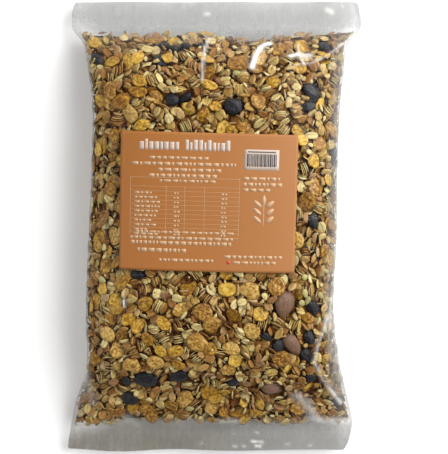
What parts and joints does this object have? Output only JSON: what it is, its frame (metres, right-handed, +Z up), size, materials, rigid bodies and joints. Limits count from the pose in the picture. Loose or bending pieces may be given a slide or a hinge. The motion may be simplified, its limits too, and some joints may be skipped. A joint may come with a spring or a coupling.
{
  "type": "clear bag of granola",
  "caption": "Shut clear pillow bag full of rolled-oat granola, with a flat sealed strip at each end and a rectangular paper label on its front, lying on its back.",
  "frame": {"origin": "middle of the underside of the bounding box, on the surface the bag lies on", "axes": "+Z up from the surface through the labelled front, +Y along the bag to its top edge, +X to the right of the label as it is read"},
  "size_m": [0.2308, 0.3528, 0.0593],
  "materials": {
    "film": "clear glossy plastic film with soft wrinkles",
    "label": "smooth matt orange paper with white print",
    "print": "matt white ink",
    "oats": "dry rolled oat flakes, tan with browner edges",
    "corn_flakes": "dry toasted yellow flakes",
    "fruit": "wrinkled dark dried fruit",
    "nuts": "ridged brown almond skin",
    "seeds": "smooth pale green seeds"
  },
  "bodies": {
    "root": {"bag": "film", "label": "label"}
  },
  "joints": []
}
